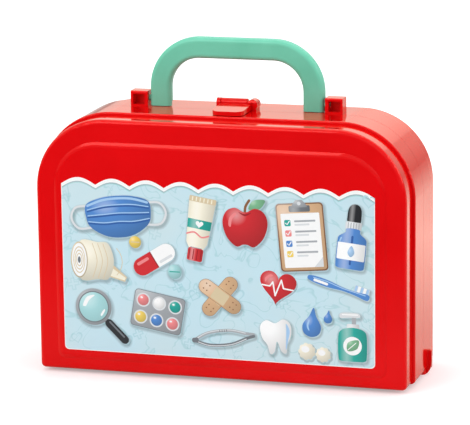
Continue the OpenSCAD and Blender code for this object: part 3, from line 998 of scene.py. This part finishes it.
    def toothbrush(self) -> None:
        """Draws a blue and white toothbrush."""
        s = self.sheet
        tilt = -17
        handle = turned(smooth([(-22, 2.4), (-8, 3.0), (6, 1.5), (18, 1.7), (28, 2.7), (30, 0),
                                (28, -2.7), (18, -1.7), (6, -1.5), (-8, -3.0), (-22, -2.4),
                                (-25, 0)], 4), tilt)
        tufts = turned(box(13, 5.6, 0.8, (22, 4.4)), tilt)
        s.cast(handle, tufts, soft=1.6)
        s.area(Ink.PALE_GREY, tufts)
        for i in range(5):
            s.area(Ink.WHITE if i % 2 else Ink.SKY,
                   turned(box(2.2, 5.2, 0.5, (17 + 2.5 * i, 4.5)), tilt))
        s.area(Ink.BLUE, handle)
        s.area(Ink.SKY, turned(stroke([(-20, 1.1), (-8, 1.7), (6, 0.6), (26, 1.2)], 0.8), tilt))
        s.area(Ink.WHITE, turned(box(13, 2.2, 1.1, (-13, -0.6)), tilt))

    def crossed_plasters(self) -> None:
        """Draws two crossed sticking plasters."""
        s = self.sheet
        tilts = (42, -42)
        strips = [turned(box(36, 11, 5.4), tilt) for tilt in tilts]
        s.cast(*strips)
        for strip, tilt in zip(strips, tilts):
            s.area(Ink.BROWN, grow(strip, 0.25))
            s.area(Ink.TAN, strip, form=Form.DOME, reach=(24, 24))
            s.area(Ink.SAND, turned(box(12, 9.4, 1.0), tilt))
            for x in (-13.5, -10.5, 10.5, 13.5):
                for z in (-2.2, 2.2):
                    s.area(Ink.BROWN, turned(ellipse(0.55, 0.55, (x, z), 10), tilt))

    def magnifier(self) -> None:
        """Draws a magnifying glass with a black grip."""
        s = self.sheet
        grip = stroke([(12, -12), (24, -24)], 6.4)
        rim = ellipse(14, 14, steps=48)
        s.cast(grip, rim)
        s.area(Ink.DARK_GREY, stroke([(9, -9), (14, -14)], 4.0))
        s.area(Ink.BLACK, grip)
        s.area(Ink.DARK_GREY, stroke([(12.6, -11.0), (23.4, -21.8)], 1.3))
        s.area(Ink.GREY, rim, form=Form.DOME, reach=(16, 16))
        s.area(Ink.DARK_GREY, ellipse(12.0, 12.0, steps=44))
        s.area(Ink.PALE_TEAL, ellipse(11.2, 11.2, steps=44), form=Form.DOME, mid=(3, -3),
               reach=(22, 22))
        s.area(Ink.WHITE, smooth([(-8.4, 1), (-5, 7.4), (1, 9), (-3.4, 5), (-6.0, 0.4)], 5))
        s.area(Ink.WHITE, smooth([(6.4, -6.6), (8.8, -2.6), (8.0, -1.6), (5.4, -5.6)], 5))

    def pill_sheet(self) -> None:
        """Draws a foil sheet with six coloured pills."""
        s = self.sheet
        foil = box(36, 26, 2.6)
        s.cast(foil)
        s.area(Ink.DARK_GREY, foil)
        s.area(Ink.GREY, box(35.2, 25.2, 2.3), form=Form.DOME, mid=(-4, 3), reach=(34, 26))
        for i, ink in enumerate((Ink.ROSE, Ink.WHITE, Ink.TEAL, Ink.LEMON, Ink.BLUE, Ink.ROSE)):
            at = (-11.4 + 11.4 * (i % 3), 6.0 - 12 * (i // 3))
            s.area(Ink.PALE_GREY, ellipse(4.9, 4.9, at, 28))
            s.area(ink, ellipse(3.9, 3.9, at, 28), form=Form.DOME, mid=at, reach=(4.8, 4.8))
            s.area(Ink.WHITE, ellipse(0.9, 0.6, (at[0] - 1.4, at[1] + 1.5), 12))

    def tweezers(self) -> None:
        """Draws grey steel tweezers."""
        s = self.sheet
        arms = [stroke(curve([(-25, 0.4 * k), (-12, 5.4 * k), (6, 6.0 * k), (20, 2.2 * k),
                              (27, 0.7 * k)], 6), 2.6) for k in SIDES]
        s.cast(*arms, soft=1.6)
        for k, arm in zip(SIDES, arms):
            s.area(Ink.GREY if k > 0 else Ink.DARK_GREY, arm)
            s.area(Ink.PALE_GREY, stroke(
                curve([(-23, 1.5 * k), (-12, 5.8 * k), (6, 6.4 * k), (20, 2.6 * k)], 6), 0.8))
        s.area(Ink.DARK_GREY, box(6, 4.2, 1.8, (-24.6, 0)))
        for x in (-2, 0, 2, 4):
            s.area(Ink.DARK_GREY, box(0.6, 2.0, 0.2, (x, 6.0)))

    def tooth(self) -> None:
        """Draws a white tooth."""
        s = self.sheet
        whole = smooth([(0, 8.6), (6, 11), (10.6, 7), (10, -1), (7, -6), (5.6, -12.4),
                        (2.4, -11), (0, -4), (-2.4, -11), (-5.6, -12.4), (-7, -6), (-10, -1),
                        (-10.6, 7), (-6, 11)], 5)
        s.cast(whole)
        s.area(Ink.GREY, grow(whole, 0.35))
        s.area(Ink.WHITE, whole, form=Form.DOME, reach=(16, 18))
        s.area(Ink.SKY, smooth([(7.6, 8), (9.6, 3), (8.0, -3), (5.6, -10.4), (6.4, -3),
                                (7.2, 3)], 5))

    def drop(self) -> None:
        """Draws a blue drop and a small one beside it."""
        s = self.sheet
        whole = smooth([(0, 11), (2.4, 5), (6.6, -2), (5.4, -8), (0, -10.4), (-5.4, -8),
                        (-6.6, -2), (-2.4, 5)], 5)
        small = [(11 + 0.45 * x, 6 + 0.45 * z) for x, z in whole]
        s.cast(whole, small, soft=1.6)
        s.area(Ink.BLUE, whole, form=Form.DOME, mid=(0, -3), reach=(8, 11))
        s.area(Ink.SKY, smooth([(-3.8, -2), (-2.6, 1.6), (-2.0, 1.0), (-2.4, -2.6), (-1.4, -6),
                                (-2.8, -5)], 5))
        s.area(Ink.BLUE, small, form=Form.DOME, mid=(11, 4.6), reach=(3.6, 5))

    def pump_bottle(self) -> None:
        """Draws a green soap bottle with a white pump."""
        s = self.sheet
        body = smooth(mirror([(3, 11), (9, 9), (11.4, 4), (11.4, -12), (9.4, -15.6),
                              (2, -16)]), 4)
        head = smooth([(-9, 22.6), (-2, 23.2), (5, 22.6), (5.6, 19.6), (-3, 19.2),
                       (-9, 18.4), (-10.4, 20.4)], 4)
        s.cast(body, head)
        s.area(Ink.GREY, box(3.4, 9, 0.6, (1.2, 15.6)))
        s.area(Ink.PALE_GREY, head)
        s.area(Ink.WHITE, stroke([(-8, 21.4), (4, 21.6)], 1.0))
        s.area(Ink.PALE_GREY, box(10, 4.2, 1.0, (0.4, 12.0)), form=Form.ROD, mid=(0.4, 12),
               reach=(7, 5))
        s.area(Ink.TEAL, body, form=Form.ROD, reach=(13.4, 18))
        s.area(Ink.WHITE, ellipse(7.4, 7.4, (0, -3.4)))
        s.area(Ink.GREEN, smooth([(-4.4, -6.8), (-3.4, -0.6), (4.8, 1.4), (4.0, -5),
                                  (-1, -7.6)], 5), form=Form.DOME, mid=(0, -3), reach=(7, 6))
        s.area(Ink.WHITE, stroke([(-3.6, -6.6), (2.8, -0.8)], 0.6))

    def cotton_balls(self) -> None:
        """Draws two cotton balls, each with an edge of nine puffs."""
        s = self.sheet
        turns = [2 * math.pi * i / 72 for i in range(72)]
        for x, z, r in ((-7, 0, 7.0), (7, -2, 6.2)):
            reach = [r - 0.4 + 0.9 * abs(math.sin(4.5 * t)) for t in turns]
            puff = [(x + k * math.cos(t), z + k * math.sin(t)) for k, t in zip(reach, turns)]
            s.cast(puff, soft=1.8)
            s.area(Ink.CREAM, puff, form=Form.DOME, mid=(x, z), reach=(r * 1.5, r * 1.5))
            s.area(Ink.WHITE, ellipse(r * 0.5, r * 0.4, (x - r * 0.2, z + r * 0.25), 20))


@dataclass
class Studio:
    """Floor, lamps, world and the camera at the photograph's angle.

    Levels are strengths of light, where the camera sees 1 as white.
    """

    camera_mm: Triple = (570.0, -1964.15, 569.3)
    yaw: float = 0.2827
    pitch: float = 0.2190
    roll: float = -0.0120
    focal_px: float = 2930.68
    frame_w_px: int = 470
    sensor_mm: float = 36.0
    sight_m: Point = (0.05, 60.0)
    floor_half_m: float = 12.0
    floor_grey: float = 0.8
    front_dim: Range = (-0.1, -0.45, 0.0, 0.8)
    seen_white: Range = (0.2, 0.9, 0.34, 0.6)
    behind_m: Point = (-0.1, 0.1)
    sky_level: float = 0.66
    sky_seen_more: float = 0.34
    sky_mirrored_less: float = 0.26
    aim_m: Triple = (0.0, 0.0, 0.1)

    def build(self) -> None:
        """Builds the camera, floor, world and lamps."""
        self.place_camera()
        self.lay_floor()
        self.light_world()
        self.lamp("key", (-0.85, -1.6, 1.4), (1.1, 1.1), 17.0)
        self.lamp("fill", (1.6, 0.3, 0.9), (1.0, 1.0), 9.0)
        self.lamp("top", (0.0, 0.4, 1.7), (1.2, 1.2), 7.0)
        self.lamp("back_panel", (-0.6, 2.6, 0.8), (2.6, 1.0), 2.5)

    def place_camera(self) -> None:
        """Places the camera where the fit to the photograph puts it."""
        data = bpy.data.cameras.new("camera")
        data.sensor_width = self.sensor_mm
        data.lens = self.sensor_mm * self.focal_px / self.frame_w_px
        data.clip_start, data.clip_end = self.sight_m
        level = Vector((math.cos(self.yaw), math.sin(self.yaw), 0.0))
        ahead = Vector((-math.sin(self.yaw) * math.cos(self.pitch),
                        math.cos(self.yaw) * math.cos(self.pitch), -math.sin(self.pitch)))
        above = level.cross(ahead)
        right = level * math.cos(self.roll) + above * math.sin(self.roll)
        up = above * math.cos(self.roll) - level * math.sin(self.roll)
        turn = Matrix((right, up, -ahead)).transposed().to_4x4()
        camera = put("camera", data)
        camera.matrix_world = Matrix.Translation(Vector(self.camera_mm) * MM) @ turn
        bpy.context.scene.camera = camera

    def lay_floor(self) -> None:
        """Lays the white floor, which shows as the photograph's white ground."""
        mesh = bpy.data.meshes.new("floor")
        half = self.floor_half_m
        mesh.from_pydata([(-half, -half, 0), (half, -half, 0), (half, half, 0),
                          (-half, half, 0)], [], [(0, 1, 2, 3)])
        made = bpy.data.materials.new("studio_floor")
        tree = fresh_tree(made)
        rays = node(tree, "LightPath").outputs
        place = node(tree, "TexCoord").outputs["Object"]
        depth = node(tree, "SeparateXYZ", {0: place}).outputs["Y"]
        reach = node(tree, "VectorMath", {0: place}, operation="LENGTH")
        # Reflections alone see the floor darker in front of the case.
        dim = node(tree, "MapRange", {"Value": depth, **dict(zip(ENDS, self.front_dim))})
        dimmed = node(tree, "Math", {0: rays["Is Glossy Ray"], 1: dim}, operation="MULTIPLY")
        grey = node(tree, "Mix", {
            MIX_FACTOR: dimmed, MIX_UNDER: (self.floor_grey,) * 3 + (1.0,),
            MIX_OVER: (0.0, 0.0, 0.0, 1.0)}, data_type="RGBA")
        paint = node(tree, "BsdfDiffuse", {"Color": grey})
        # The camera sees the floor as white, and reflections see a glow on it behind the case.
        white = node(tree, "MapRange", {"Value": reach, **dict(zip(ENDS, self.seen_white))})
        behind = node(tree, "MapRange", {"Value": depth, **dict(zip(ENDS, self.behind_m))})
        glow = node(tree, "ValToRGB", {"Fac": reach},
                    stops=greys((0.2, 0.0), (0.5, 0.36), (0.7, 0.12), (1.0, 0.0)))
        mirrored = node(tree, "Math", {0: glow, 1: behind}, operation="MULTIPLY")
        straight = node(tree, "Math", {0: rays["Is Camera Ray"], 1: white}, operation="MULTIPLY")
        level = node(tree, "Math", {0: rays["Is Glossy Ray"], 1: mirrored, 2: straight},
                     operation="MULTIPLY_ADD")
        shine = node(tree, "Emission", {"Color": WHITE_LIGHT, "Strength": level})
        both = node(tree, "AddShader", {0: paint, 1: shine})
        node(tree, "OutputMaterial", {"Surface": both})
        mesh.materials.append(made)
        floor = put("floor", mesh)
        floor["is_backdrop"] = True

    def light_world(self) -> None:
        """Sets the plain studio world."""
        scene = bpy.context.scene
        scene.view_settings.view_transform = "Standard"
        scene.world = bpy.data.worlds.new("studio")
        tree = fresh_tree(scene.world)
        rays = node(tree, "LightPath").outputs
        # Reflections alone see the room darker low down.
        way = node(tree, "TexCoord").outputs["Generated"]
        height = node(tree, "SeparateXYZ", {0: way}).outputs["Z"]
        glow = node(tree, "ValToRGB", {"Fac": height},
                    stops=greys((0.0, 0.0), (0.16, 0.34), (0.23, 0.36), (0.32, 0.85)))
        mirrored = node(tree, "Math", {0: glow, 1: self.sky_mirrored_less},
                        operation="SUBTRACT")
        straight = node(tree, "Math", {0: rays["Is Camera Ray"], 1: self.sky_seen_more,
                                       2: self.sky_level}, operation="MULTIPLY_ADD")
        level = node(tree, "Math", {0: rays["Is Glossy Ray"], 1: mirrored, 2: straight},
                     operation="MULTIPLY_ADD")
        sky = node(tree, "Background", {"Color": WHITE_LIGHT, "Strength": level})
        node(tree, "OutputWorld", {"Surface": sky})

    def lamp(self, name: str, place_m: Triple, size_m: Point, watts: float) -> None:
        """Hangs one soft lamp that points at the case.

        Args:
            name: the lamp's name.
            place_m: where it hangs.
            size_m: its width and height.
            watts: its power.
        """
        data = bpy.data.lights.new(name, "AREA")
        data.shape = "RECTANGLE"
        data.size, data.size_y, data.energy = *size_m, watts
        made = put(name, data)
        made.visible_camera = False
        made.location = place_m
        way = Vector(self.aim_m) - Vector(place_m)
        made.rotation_euler = way.to_track_quat("-Z", "Y").to_euler()


def dress(name: str, material: Material) -> None:
    """Gives a CAD node its finish.

    Args:
        name: the CAD node.
        material: the finish.
    """
    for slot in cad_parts[name].material_slots:
        slot.material = material
    log.info("%s: %s", name, material.name)


def corners() -> list[list[float]]:
    """Returns the lowest and highest corner of what is shown, as plain lists."""
    return [list(corner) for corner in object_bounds()]


def main() -> None:
    """Builds the looks in order."""
    bpy.context.view_layer.update()
    red = GlossyPolystyrene().build()
    mint = SatinPolypropylene().build()
    for name in ("rear_shell", "front_shell", "latch_clip", "latch_pin", "hinge_pin_left",
                 "hinge_pin_right"):
        dress(name, red)
    dress("handle", mint)
    FrontLabel().build(LaminatedPrint().build())
    Studio().build()
    bpy.context.view_layer.update()


if __name__ == "__main__":
    logging.basicConfig(level=logging.INFO, format="%(message)s")
    main()
